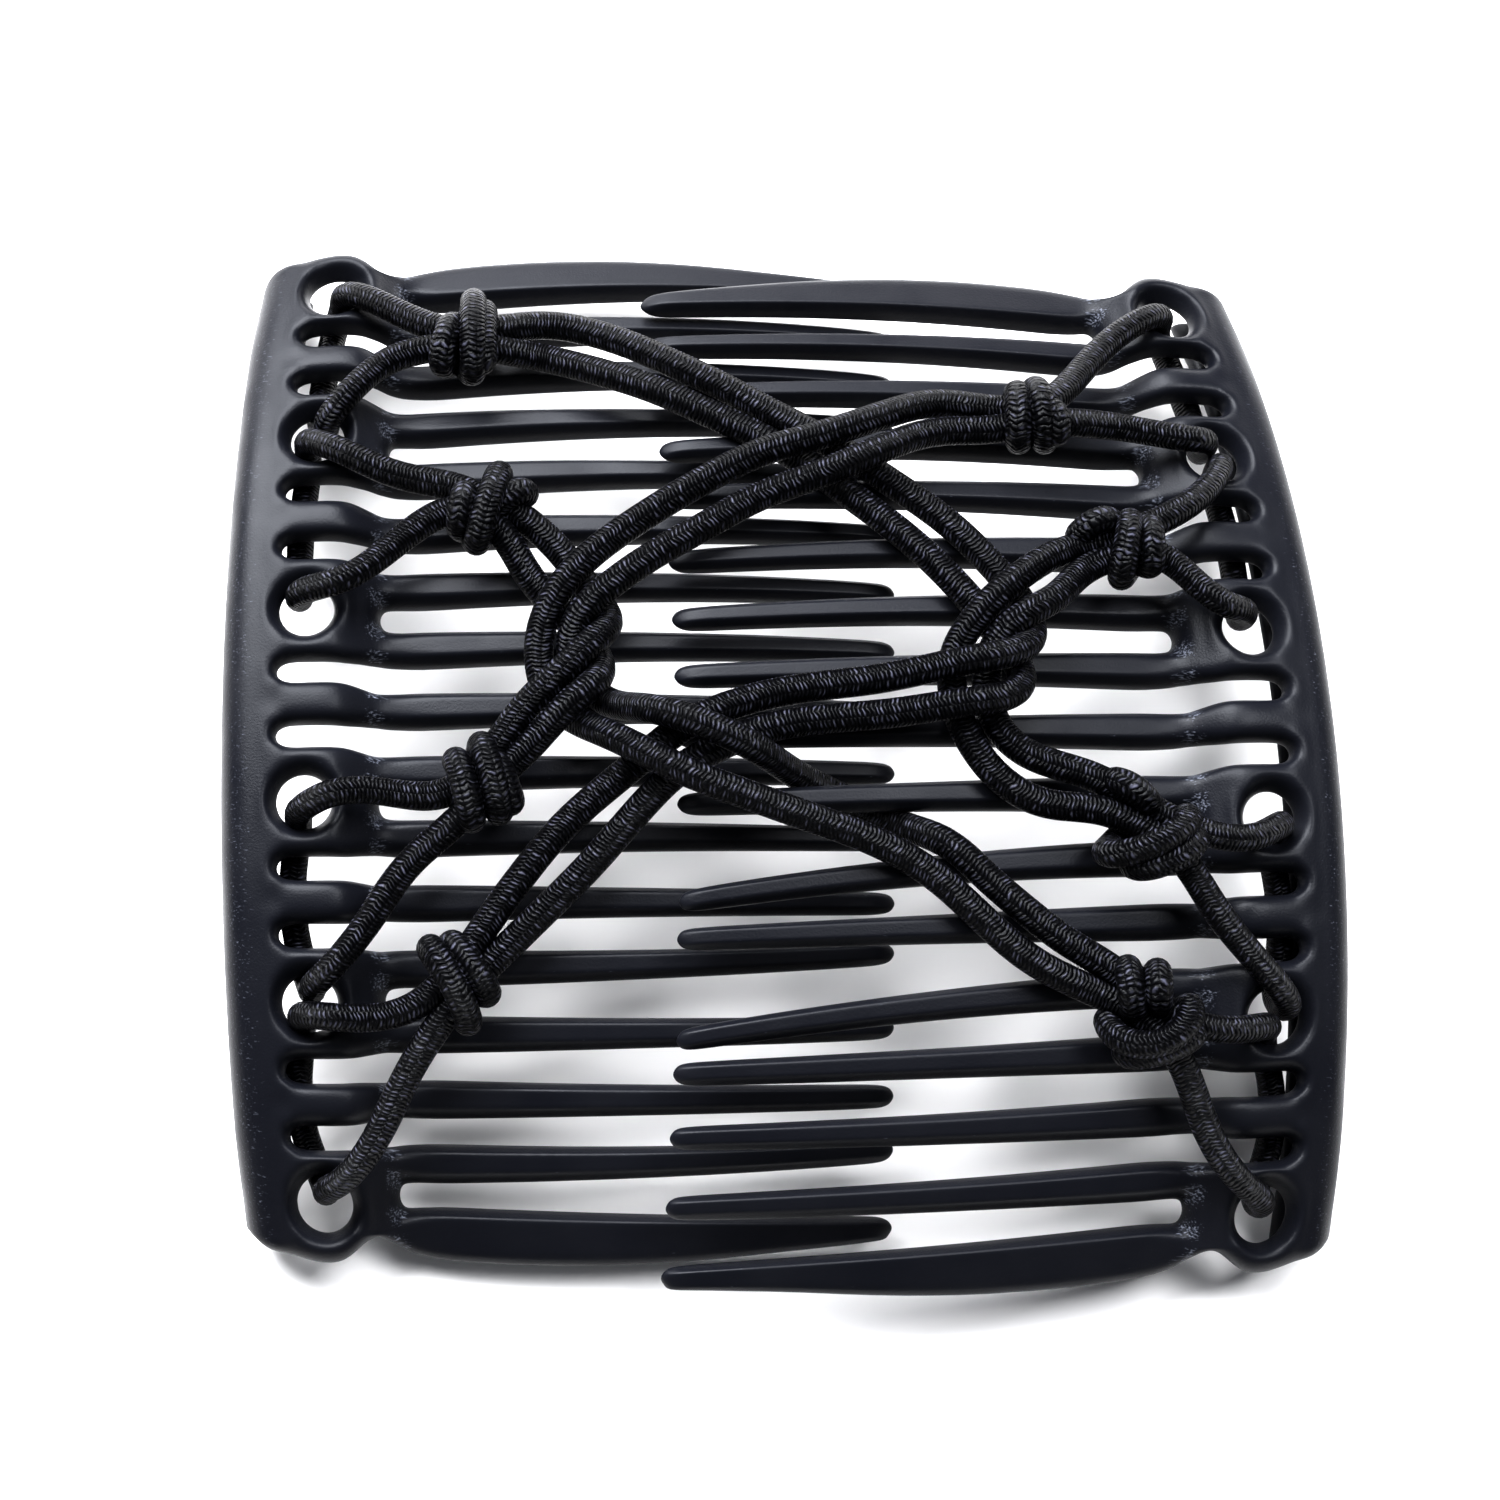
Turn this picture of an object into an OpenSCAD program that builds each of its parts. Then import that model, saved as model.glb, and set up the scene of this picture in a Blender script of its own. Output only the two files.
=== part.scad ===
// Stretchy double hair comb: two alike moulded combs that lie tips over tips,
// joined by four loops of round braided elastic, each tied twice.
// Millimetres. +Z is up, away from the head, and +X runs from comb to comb.

/* [Comb] */
// Angle from one tine to the next, along the arched spine
tine_step = 3.2; // [3.0:0.05:3.3]
// Radius of the arch that the spine and the tines follow
arch_r = 104; // [98:1:110]
// Length of the middle tine from the outer edge of the spine
comb_len = 59.6; // [56:0.2:62]
// How much longer each tine is than the one before it
len_step = 0.2; // [0:0.05:0.3]
// How far the ends of the spine curve back towards the tips
spine_bow = 2.5; // [1.5:0.1:3.5]
// How far the outer tips stand forward of the line of the middle ones
tip_bow = 1.3; // [0:0.1:2.5]

/* [Spine] */
// Wall of the spine and of the web with the holes
wall = 2.2; // [1.8:0.1:2.6]
// Depth of the outer wall of the spine
spine_depth = 5.6; // [4.5:0.1:6.5]
// Reach of the lip that turns in under the spine, from the outer edge
lip_len = 4.2; // [3:0.1:4.6]
// Height of the step from the web down to the tines
knuckle_drop = 3.3; // [2.5:0.1:4]
// Half of the length of the spine
end_y = 46; // [45.6:0.1:46.4]

/* [Holes] */
// Diameter of a cord hole
eye_d = 5.4; // [4.8:0.1:5.6]
// Distance of the cord holes from the outer edge
eye_x = 7.3; // [7:0.1:7.6]
// Width of the slots between the cord holes
slot_w = 1.9; // [1.6:0.1:2.2]
// Distance of the slot ends from the outer edge
slot_x = 4.8; // [4.6:0.1:5.2]

/* [Tines] */
// Thickness of a tine where it leaves the web
tine_t = 2.6; // [2.2:0.1:3]
// Width of a tine where it leaves the web
tine_w = 3.0; // [2.6:0.1:3.2]
// Width of a tine near its tip
tip_w = 1.6; // [1.2:0.1:2]

/* [Cord] */
// Diameter of the cord in the double strands
strand_d = 2.6; // [2.2:0.1:2.6]
// Diameter of the cord where it is drawn tight through the holes
leg_d = 2.4; // [2:0.1:2.4]

/* [Placing] */
// Lift of the tips of the upper comb, in degrees
upper_tilt = 4.6; // [4:0.1:5.5]
// Turn of the upper comb on the table, in degrees
upper_turn = 3.7; // [2:0.1:5]
// Turn of the lower comb on the table, in degrees
lower_turn = 1.4; // [0:0.1:3]
// Lean of the lower comb down to its tips, in degrees
lower_lean = 2; // [1:0.1:2.5]

/* [Hidden] */
$fn = 32;

comb_color = "#26272b";
cord_color = "#141417";

tine_count = 17;
mid = (tine_count + 1) / 2;
lower_at = [-49.6, 0.6, 17.5];
upper_at = [49.4, 1, 16.8];

// The web starts at the outer edge, rises to the knuckle and steps down to the tines.
web_slope = 0.11;
knuckle_x = 11.2;
ramp_len = 2.4;
root_x = knuckle_x + ramp_len;
web_top = web_slope * knuckle_x;
root_top = web_top - knuckle_drop;
tine_rise = 0.145;
tine_curve = 0.0026;
web_edge_x = root_x + 1.2;
edge_r = 2.8;
bead_r = 0.8;
// How far the corner of the knuckle is rounded off
knuckle_round = 0.9;
// Centre of the arc over the outer edge, a little above the arch
edge_rise = 0.25;

// The spine is turned about an axis tipped by this angle, which sets its ends back.
spine_tip = atan(spine_bow / (arch_r * (1 - cos(tine_step * tine_count / 2))));
spine_r = arch_r * cos(spine_tip);
half_arc = 29;

// Where the outer edge of an end tine lies: distance from the spine's edge, half width.
end_edge = [[14, 2.0], [20, 2.8], [28, 3.1], [36, 3.0], [44, 2.35], [52, 1.5], [60, 0.9]];

// How far the tip of each tine has strayed sideways, from tine 1 on
lower_stray = [0, 0, 0, 0, 0, -0.3, -0.5, -0.4, -0.5, -0.2, -0.4, -0.3, 1.1, 0.3, 0, 0.9, -0.5];
upper_stray = [0.7, 0.3, 0, 0.2, 2.9, 0.2, 2.7, 0, -0.2, 0, 0.4, 0.5, -0.5, 0.3, 0, -0.4, -0.5];

// Height of the top of the web and tines over the arch, at a distance from the outer edge
function top_z(x) =
    x <= knuckle_x ? web_slope * x :
    x <= root_x ? web_top - knuckle_drop * (x - knuckle_x) / ramp_len :
    root_top + tine_rise * (x - root_x) - tine_curve * pow(x - root_x, 2);

// Thickness of a tine, which thins towards the tip
function tine_thick(x) = tine_t - 0.8 * (x - root_x) / (comb_len - root_x);

// Half of a tine's width, which narrows faster near the web
function tine_half(x) =
    let (waist_w = tine_w - 0.8, waist_x = 35)
    x < waist_x ? (tine_w - 0.8 * (x - root_x) / (waist_x - root_x)) / 2 :
    (waist_w + (tip_w - waist_w) * (x - waist_x) / (comb_len - waist_x)) / 2;

// Side position of tine i, or of the gap after it at i + 0.5
function side_y(i, x) = (arch_r + top_z(x)) * sin((mid - i) * tine_step);

// How far tine i stands forward because the comb is bowed in plan
function set_back(i, bow) = bow * pow((mid - i) / (tine_count / 2), 2);

function tip_x(i) = comb_len + len_step * (mid - i) + set_back(i, tip_bow);

function stray(i, x, table) = table[i - 1] * pow((x - root_x) / (comb_len - root_x), 2);

// Points of an arc in the plane
function arc(x, y, r, a0, a1, steps) =
    [for (k = [0:steps]) let (a = a0 + (a1 - a0) * k / steps) [x + r * cos(a), y + r * sin(a)]];

// Section of the spine, web and knuckle: outer wall, rounded top, lip turned in below
spine_section = concat(
    arc(edge_r, edge_rise - edge_r, edge_r, 180, 96, 5),
    [[knuckle_x - knuckle_round, web_top - 0.1], [knuckle_x, web_top - 0.25]],
    [[knuckle_x + knuckle_round / 2, web_top - knuckle_round]],
    [[root_x - 0.3, root_top + 0.3], [root_x + 0.8, root_top]],
    [[root_x + 0.8, root_top - tine_t], [root_x - 1.6, root_top - tine_t]],
    [[knuckle_x - 1.2, web_top - wall], [wall + 0.8, web_slope * wall - wall], [wall, -wall - 0.6]],
    [[wall, 2 * bead_r - spine_depth]],
    arc(lip_len - bead_r, bead_r - spine_depth, bead_r, 90, -90, 4),
    arc(bead_r, bead_r - spine_depth, bead_r, 270, 180, 3)
);

tine_stations = [root_x, 20, 26, 32, 38, 45, 52, 58, 64];

// Turns a section, given as distance from the edge and height, about the level axis of the arch
module arched(points, r) {
    turned = [for (p = points) [r + p.y, -p.x]];
    rotate([0, -90, 0])
        rotate([0, 0, -half_arc])
            rotate_extrude(angle = 2 * half_arc)
                polygon(turned);
}

module spine() {
    tipped = [for (p = spine_section)
        [p.x * cos(spine_tip) + p.y * sin(spine_tip), p.y * cos(spine_tip) - p.x * sin(spine_tip)]];
    translate([spine_r * sin(spine_tip), 0, -spine_r * cos(spine_tip)])
        rotate([0, -spine_tip, 0])
            arched(tipped, spine_r);
}

module tine_sheet() {
    top = [for (x = tine_stations) [x, top_z(x)]];
    under = [for (k = [len(tine_stations) - 1:-1:0])
        let (x = tine_stations[k]) [x, top_z(x) - tine_thick(x)]];
    start = [[root_x - 0.8, root_top - tine_t], [root_x - 0.8, root_top]];
    translate([0, 0, -arch_r])
        arched(concat(top, under, start), arch_r);
}

// Half width of tine i on one side; the outer edges of the first and the last are bowed
function side_half(i, side, x) =
    (i == 1 && side > 0) || (i == tine_count && side < 0) ? lookup(x, end_edge) : tine_half(x);

function tine_mid(i, x, table) = side_y(i, x) + stray(i, x, table);

function tine_side(i, side, xs, table) =
    [for (x = xs) [x, tine_mid(i, x, table) + side * side_half(i, side, x)]];

// Outline of tine i, out along one side, round the tip and back along the other
function tine_outline(i, table) =
    let (last_x = tip_x(i) - tip_w / 2)
    concat(
        tine_side(i, 1, [20, 32, 44, last_x], table),
        [for (p = arc(0, 0, tip_w / 2, 60, -60, 4)) p + [last_x, tine_mid(i, last_x, table)]],
        tine_side(i, -1, [last_x, 44, 32, 20], table)
    );

function gap_half() = (side_y(8, root_x) - side_y(9, root_x) - tine_w) / 2;

// Whether gap k has a cord hole behind it, or runs on as a slot
function has_eye(k) = (k - 1) % 3 == 0;

// Outline of the start of gap k, round for a hole gap and long and narrow for a slot
function gap_outline(k) =
    let (back = set_back(k + 0.5, spine_bow), y0 = side_y(k + 0.5, eye_x), y1 = side_y(k + 0.5, root_x))
    has_eye(k) ? arc(root_x + back * 0.9 + gap_half(), y1, gap_half(), 90, 270, 4) :
    concat(
        [[root_x + back, y1 + gap_half()], [knuckle_x + back, y0 + slot_w / 2]],
        arc(slot_x + back + slot_w / 2, y0, slot_w / 2, 90, 270, 4),
        [[knuckle_x + back, y0 - slot_w / 2], [root_x + back, y1 - gap_half()]]
    );

// Outline of one end of the web, from the first tine round the end hole to the outer edge
lobe_r = 4.5;
end_back = set_back(1.5, spine_bow);
corner_outline = concat(
    [[web_edge_x + 0.3, 45.3]],
    arc(eye_x + end_back, side_y(1.5, eye_x), lobe_r, 48, 115, 4),
    [[end_back + 2.3, end_y], [end_back + 1, end_y - 1], [end_back + 0.3, end_y - 2.8]],
    [[end_back - 0.5, end_y - 8], [-1, 0]]
);

function comb_outline(table) = concat(
    [for (k = [len(corner_outline) - 1:-1:0]) corner_outline[k]],
    [for (i = [1:tine_count]) each concat(
        tine_outline(i, table),
        i < tine_count ? gap_outline(i) : []
    )],
    [for (k = [0:len(corner_outline) - 2]) [corner_outline[k].x, -corner_outline[k].y]]
);

// One moulded comb: spine along Y, tines along +X, every wall drawn straight up
module comb(table) {
    color(comb_color)
        difference() {
            intersection() {
                union() {
                    spine();
                    tine_sheet();
                }
                translate([0, 0, -40])
                    linear_extrude(60)
                        polygon(comb_outline(table));
            }
            for (k = [1:tine_count - 1])
                if (has_eye(k))
                    translate([eye_x + set_back(k + 0.5, spine_bow), side_y(k + 0.5, eye_x), -40])
                        cylinder(h = 60, d = eye_d);
        }
}

module comb_lower() {
    translate(lower_at)
        rotate([0, lower_lean, lower_turn])
            comb(lower_stray);
}

module comb_upper() {
    translate(upper_at)
        rotate([0, upper_tilt, upper_turn])
            rotate([0, 0, 180])
                comb(upper_stray);
}

// A point turned about X, then Y, then Z
function turned(p, a) =
    let (y1 = p.y * cos(a.x) - p.z * sin(a.x), z1 = p.y * sin(a.x) + p.z * cos(a.x))
    let (x2 = p.x * cos(a.y) + z1 * sin(a.y), z2 = z1 * cos(a.y) - p.x * sin(a.y))
    [x2 * cos(a.z) - y1 * sin(a.z), x2 * sin(a.z) + y1 * cos(a.z), z2];

// Where a point of the moulding lies on the lower comb (side -1) or the upper one (side 1)
function placed(side, p) =
    side < 0 ? lower_at + turned(p, [0, lower_lean, lower_turn]) :
    upper_at + turned([-p.x, -p.y, p.z], [0, upper_tilt, upper_turn]);

// A point over (h > 0) or under the web: beside hole k by across, and inwards of it by inward
function at_hole(side, k, inward, across, h) =
    let (y = side_y(k + 0.5, eye_x) + across, r = arch_r + top_z(eye_x) + h)
    placed(side, [eye_x + set_back(k + 0.5, spine_bow) + inward, y, sqrt(r * r - y * y) - arch_r]);

// Route down through hole k, under the web, and up through hole m; in_k and in_m are how far
// each leg lies from the middle of its hole: inwards, and towards the other hole.
// Under the web the cord bows out towards the spine.
function under_web(side, k, m, in_k, in_m) =
    let (s = sign(side_y(m, 0) - side_y(k, 0)))
    let (reach = abs(side_y(m + 0.5, eye_x) - side_y(k + 0.5, eye_x)))
    [
        at_hole(side, k, in_k.x, s * in_k.y, 0.4),
        at_hole(side, k, in_k.x, s * in_k.y, -2.2),
        at_hole(side, k, in_k.x * 0.5 - 0.5, s * 2.9, -4.3),
        at_hole(side, k, (in_k.x + in_m.x) / 5 - 1.2, s * reach / 2, -4.3),
        at_hole(side, m, in_m.x * 0.5 - 0.5, -s * 2.9, -4.3),
        at_hole(side, m, in_m.x, -s * in_m.y, -2.2),
        at_hole(side, m, in_m.x, -s * in_m.y, 0.4)
    ];

// Knots: middle, turn that carries +X to the double strand's side, number of turns
knots = [
    ["a1", [-29.5, 36.5, 14], [-20, 0, 0], 2],
    ["a2", [-28.5, -24, 16.5], [14, 0, 52], 3],
    ["b1", [29, 15.5, 20], [8, 0, 198], 3],
    ["b2", [31, -9.5, 20.5], [-4, 0, 150], 3],
    ["c1", [-27, 18.5, 18.5], [-10, 0, -28], 2],
    ["c2", [-26.5, -6.5, 19.5], [4, 0, 50], 3],
    ["d1", [21.5, 28.5, 18], [16, 0, 190], 2],
    ["d2", [31, -26, 18], [-14, 0, 143], 3]
];
knot_pitch = 2.2;
knot_bead = 1.4;
function knot_of(name) = knots[search([name], knots)[0]];
function knot_len(turns) = (turns - 1) * knot_pitch + 2 * knot_bead + 0.2;

// Points where a cord leaves a knot: just off its end face, then straight out from it.
// side is 1 for the double strand and -1 for the legs, across is the offset on the face.
function port(name, side, across) =
    let (k = knot_of(name), face = knot_len(k[3]) / 2 + 0.15)
    [for (out = [0, 1, 2]) k[1] + turned([side * (face + out), across, 0], k[2])];
function reversed(list) = [for (i = [len(list) - 1:-1:0]) list[i]];

module knot(name) {
    k = knot_of(name);
    long = knot_len(k[3]);
    color(cord_color)
        translate(k[1])
            rotate(k[2])
                rotate([0, 90, 0])
                    rotate_extrude()
                        intersection() {
                            union() {
                                translate([0, -long / 2])
                                    square([2.8, long]);
                                for (t = [0:k[3] - 1])
                                    translate([2.1, (t - (k[3] - 1) / 2) * knot_pitch])
                                        circle(r = knot_bead);
                            }
                            translate([0, -long / 2])
                                square([10, long]);
                        }
}

// Smooth curve through points, with steps pieces to each span
function smooth_at(a, b, c, d, t) =
    (2 * b + (c - a) * t + (2 * a - 5 * b + 4 * c - d) * t * t + (3 * b - a - 3 * c + d) * t * t * t) / 2;
function smooth(p, steps) =
    let (q = concat([2 * p[0] - p[1]], p, [2 * p[len(p) - 1] - p[len(p) - 2]]))
    concat(
        [for (i = [1:len(q) - 3]) for (t = [0:steps - 1])
            smooth_at(q[i - 1], q[i], q[i + 1], q[i + 2], t / steps)],
        [p[len(p) - 1]]
    );

function unit(v) = v / norm(v);

// Round cord along a curve: eight-sided rings, each square to the curve, kept level by lean
module cord(points, d, lean) {
    rings = len(points);
    sides = 8;
    along = [for (i = [0:rings - 1])
        unit(points[min(i + 1, rings - 1)] - points[max(i - 1, 0)])];
    verts = [for (i = [0:rings - 1])
        let (u = unit(cross(lean, along[i])), v = cross(along[i], u))
        for (k = [0:sides - 1])
            points[i] + d / 2 * (u * cos(360 * k / sides) + v * sin(360 * k / sides))];
    faces = concat(
        [[for (k = [0:sides - 1]) sides - 1 - k]],
        [for (i = [0:rings - 2]) for (k = [0:sides - 1])
            let (a = i * sides + k, b = i * sides + (k + 1) % sides)
            for (f = [[a, b, b + sides], [a, b + sides, a + sides]]) f],
        [[for (k = [0:sides - 1]) (rings - 1) * sides + k]]
    );
    color(cord_color)
        polyhedron(verts, reversed_faces(faces));
}
function reversed_faces(faces) = [for (f = faces) reversed(f)];

// Routes of the double strands over the combs, from the first knot of a loop to the second
a_1 = [[-21.5, 39, 12], [-15.5, 37, 13.5], [-10.5, 34, 15.5], [-6, 31.5, 16.5], [-2, 29, 17],
    [3, 26, 18], [8, 22.5, 18.5], [14, 18, 19], [18, 14, 19], [20.5, 10.5, 19.5], [21.5, 7.5, 20.5],
    [20.5, 5, 23], [18, 4, 24], [15, 3.5, 24], [12, 3, 23], [7, 2, 22.5], [2, 1.5, 22],
    [-3, 0.5, 22], [-9, -2, 22.5], [-12.5, -4.5, 20.5], [-16, -7, 18.5], [-19.5, -10, 17.5],
    [-23, -14.5, 17.5]];
a_2 = [[-22.5, 35.5, 12.5], [-17.5, 33.5, 14.5], [-12, 31, 16.5], [-7, 28.5, 17], [-3, 26.5, 17.5],
    [1, 24, 18], [4.5, 21, 19], [7.5, 18.5, 19.5], [11, 15.5, 20], [14, 12.5, 20], [17, 9, 20],
    [19.5, 5.5, 19.5], [20.5, 2.5, 21.5], [19, 0.5, 23], [16.5, 0, 24], [12, -0.5, 23], [8.5, -1, 22.5],
    [2, -1.5, 22], [-3, -2.5, 22], [-9, -5.5, 22], [-12.5, -8.5, 20], [-17, -13.5, 18], [-21.5, -18, 17]];
b_1 = [[22, 13.5, 21.5], [19, 11, 22.5], [16, 8, 22.5], [14, 5, 20.5], [14, 2, 20.5],
    [14.5, -1, 21], [16.5, -4.5, 20.5], [19, -7, 20.5], [22, -8.5, 20.5]];
b_2 = [[23.5, 10, 22], [21, 8.5, 23.5], [18.5, 7, 22.5], [17, 4.5, 21], [17, 2, 20.5],
    [17.5, -1, 20.5], [19, -3, 20.5], [21.5, -4.5, 20.5], [24, -5, 20.5]];
c_1 = [[-20, 15, 17], [-18, 12, 17], [-16, 9.5, 17.5], [-15.5, 7.5, 19], [-17, 6, 21],
    [-19.5, 3, 21.5], [-22.5, 0.5, 20.5]];
c_2 = [[-23, 12.5, 17], [-20, 9.5, 17], [-18, 7, 17], [-16.5, 5, 18], [-16.5, 2, 21],
    [-18.5, 0.5, 22], [-21, -2, 20.5]];
d_1 = [[13, 29.5, 18.5], [7.5, 27, 20.5], [2.5, 25, 21], [-2.5, 23.5, 21], [-9, 20, 20.5],
    [-15, 16, 20], [-18, 13.5, 20], [-20.5, 10.5, 20], [-22, 7, 19], [-22, 4, 18],
    [-21, 1, 17.5], [-18.5, -1, 18.5], [-15.5, -3, 21.5], [-12, -5.5, 24], [-8, -7.5, 24.5],
    [-3, -9, 23.5], [2, -10.5, 22.5], [7, -12, 21.5], [12, -14.5, 20.5], [16, -18, 20],
    [19.5, -21, 19], [23, -23, 18.5]];
d_2 = [[13, 26.5, 19], [7.5, 23.5, 21.5], [2.5, 21, 22], [-3, 19, 21.5], [-7, 16.5, 21.5],
    [-12, 13.5, 21.5], [-15.5, 11, 21], [-18.5, 8.5, 20.5], [-19.5, 6, 19], [-19, 4, 18],
    [-17.5, 2, 17.5], [-15.5, 0.5, 18.5], [-13.5, -0.5, 21.5], [-11.5, -1.5, 24.5], [-9, -2.5, 25.5],
    [-6.5, -3.5, 25.5], [-4, -4.5, 25], [-1.5, -5, 21.5], [0.5, -5.5, 18.5], [3, -6, 16],
    [6.5, -7.5, 15.5], [10, -9.5, 16.5], [12.5, -11, 19.5], [14.5, -12.5, 20.5], [17, -15, 20],
    [20, -17.5, 20], [23.5, -20, 19]];

// Points on the way from each knot down to the first hole, and to the second hole
a1_legs = [[[-35.5, 39.5, 12.5], [-38.5, 41.5, 12]], [[-36.5, 34.5, 14], [-39, 31, 15.5]]];
a2_legs = [[[-35, -27, 16], [-38.5, -27, 17]], [[-32.5, -31, 14.5], [-34.5, -36, 13.5], [-37, -40, 13]]];
b1_legs = [[[37, 20.5, 19]], [[35.5, 12.5, 20], [38, 10, 21]]];
b2_legs = [[[39, -11.5, 20.5]], [[37, -17.5, 18.5], [41, -22, 18]]];
c1_legs = [[[-35, 21.5, 17.5], [-39, 23.5, 18.5]], [[-35, 15, 18], [-38, 11.5, 20]]];
c2_legs = [[[-35, -7.5, 19], [-39, -8, 20.5]], [[-33, -13.5, 17.5], [-36, -19, 17.5], [-39, -23, 18]]];
d1_legs = [[[27, 34, 15], [30.5, 38.5, 13], [34, 41, 12.5]],
    [[30.5, 28.5, 16], [35, 27, 17], [38.5, 26.5, 17.5]]];
d2_legs = [[[38, -27.5, 17.5]], [[36, -35.5, 14.5], [38, -39, 14]]];

// Directions that keep the rings of a cord level: along the table, or with each comb's side
up = [0, 0, 1];
lower_lean_ref = [0.7, 0, -0.7];
upper_lean_ref = [0.7, 0, 0.7];

// One strand from knot to knot; across is its offset on the end face of each knot
module strand(from, to, across_from, across_to, route) {
    points = concat(port(from, 1, across_from), route, reversed(port(to, 1, across_to)));
    cord(smooth(points, 2), strand_d, up);
}

// From a knot down through hole k, under the web, up through hole m and back to the knot
module end_loop(name, side, k, m, in_k, in_m, across, legs) {
    down = concat(port(name, -1, across), legs[0]);
    back = concat(reversed(legs[1]), reversed(port(name, -1, -across)));
    points = concat(down, under_web(side, k, m, in_k, in_m), back);
    cord(smooth(points, 2), leg_d, side < 0 ? lower_lean_ref : upper_lean_ref);
}

comb_lower();
comb_upper();
strand("a1", "a2", 1.4, 1.4, a_1);  // cord_a_strand_1
strand("a1", "a2", -1.4, -1.4, a_2);  // cord_a_strand_2
end_loop("a1", -1, 1, 4, [0.7, 1.1], [0.8, 1.1], 1.3, a1_legs);  // cord_a_end_1
end_loop("a2", -1, 13, 16, [-0.7, 1.1], [0.2, 1.2], 1.3, a2_legs);  // cord_a_end_2
strand("b1", "b2", -1.4, 1.4, b_1);  // cord_b_strand_1
strand("b1", "b2", 1.4, -1.4, b_2);  // cord_b_strand_2
end_loop("b1", 1, 13, 10, [-0.1, 1.3], [0.5, 1.1], -1.3, b1_legs);  // cord_b_end_1
end_loop("b2", 1, 7, 4, [-0.6, 0.9], [-0.9, 0.9], -1.3, b2_legs);  // cord_b_end_2
strand("c1", "c2", 1.4, 1.4, c_1);  // cord_c_strand_1
strand("c1", "c2", -1.4, -1.4, c_2);  // cord_c_strand_2
end_loop("c1", -1, 4, 7, [-0.8, 1.1], [-0.6, 1.1], 1.3, c1_legs);  // cord_c_end_1
end_loop("c2", -1, 10, 13, [-0.4, 1.2], [0.2, 1.2], 1.3, c2_legs);  // cord_c_end_2
strand("d1", "d2", -1.4, 1.4, d_1);  // cord_d_strand_1
strand("d1", "d2", 1.4, -1.4, d_2);  // cord_d_strand_2
end_loop("d1", 1, 16, 13, [0.9, 1], [0.9, 1], -1.3, d1_legs);  // cord_d_end_1
end_loop("d2", 1, 4, 1, [0.9, 0.9], [0.4, 1.1], -1.3, d2_legs);  // cord_d_end_2
knot("a1");  // knot_a_1
knot("a2");  // knot_a_2
knot("b1");  // knot_b_1
knot("b2");  // knot_b_2
knot("c1");  // knot_c_1
knot("c2");  // knot_c_2
knot("d1");  // knot_d_1
knot("d2");  // knot_d_2
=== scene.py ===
import math

import bmesh
import bpy
from mathutils import Euler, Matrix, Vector


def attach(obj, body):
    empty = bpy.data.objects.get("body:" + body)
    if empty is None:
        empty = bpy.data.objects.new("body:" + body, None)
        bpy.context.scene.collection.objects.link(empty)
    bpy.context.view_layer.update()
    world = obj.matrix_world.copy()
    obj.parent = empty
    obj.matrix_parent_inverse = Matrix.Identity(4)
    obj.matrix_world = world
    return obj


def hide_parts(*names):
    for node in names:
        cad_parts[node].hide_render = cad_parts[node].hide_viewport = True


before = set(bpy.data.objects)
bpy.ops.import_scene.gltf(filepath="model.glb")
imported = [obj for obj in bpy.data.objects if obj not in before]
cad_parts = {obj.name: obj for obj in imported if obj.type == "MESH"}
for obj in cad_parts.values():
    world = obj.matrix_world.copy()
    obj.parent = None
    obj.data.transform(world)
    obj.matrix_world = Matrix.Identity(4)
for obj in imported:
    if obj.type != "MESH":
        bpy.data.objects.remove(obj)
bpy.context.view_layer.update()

mm = 0.001


# Small helpers

def linearColour(hexText):
    channels = [int(hexText[k:k + 2], 16) / 255 for k in (1, 3, 5)]
    return tuple(c / 12.92 if c <= 0.04045 else ((c + 0.055) / 1.055) ** 2.4 for c in channels) + (1.0,)


def addNode(tree, kind, settings=None, links=None):
    node = tree.nodes.new(kind)
    for key, value in (settings or {}).items():
        if isinstance(key, str) and hasattr(node, key):
            setattr(node, key, value)
        else:
            node.inputs[key].default_value = value
    for key, source in (links or {}).items():
        tree.links.new(source, node.inputs[key])
    return node


def linkMesh(bm, name, material):
    mesh = bpy.data.meshes.new(name)
    bm.to_mesh(mesh)
    bm.free()
    mesh.materials.append(material)
    piece = bpy.data.objects.new(name, mesh)
    bpy.context.scene.collection.objects.link(piece)
    return piece


def finishMesh(bm, name, material):
    piece = linkMesh(bm, name, material)
    for face in piece.data.polygons:
        face.use_smooth = True
    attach(piece, "root")
    return piece


def turnOf(degrees):
    return Euler([math.radians(a) for a in degrees], "XYZ")


# Camera, at the photograph's angle

cameraSettings = {
    "turn": (15.55, -3.26, 0.0),  # degrees, from straight down
    "distance": 290 * mm,
    "aim": (-2.4 * mm, 1.8 * mm, 0.1 * mm),
    "sensor": 36.0,
    "lens": 74.72,
    "clip": (0.01, 5),
}


def makeCamera(s):
    data = bpy.data.cameras.new("photoCamera")
    data.sensor_width = s["sensor"]
    data.lens = s["lens"]
    data.clip_start, data.clip_end = s["clip"]
    camera = bpy.data.objects.new("photoCamera", data)
    camera.rotation_euler = turnOf(s["turn"])
    camera.location = camera.rotation_euler.to_matrix() @ Vector((0, 0, s["distance"])) + Vector(s["aim"])
    bpy.context.scene.collection.objects.link(camera)
    bpy.context.scene.camera = camera


makeCamera(cameraSettings)
print("camera placed")


# Materials

def newMaterial(name):
    material = bpy.data.materials.new(name)
    material.use_nodes = True
    tree = material.node_tree
    tree.nodes.clear()
    out = addNode(tree, "ShaderNodeOutputMaterial")
    shader = addNode(tree, "ShaderNodeBsdfPrincipled")
    tree.links.new(shader.outputs[0], out.inputs[0])
    return material, tree, shader


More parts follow.
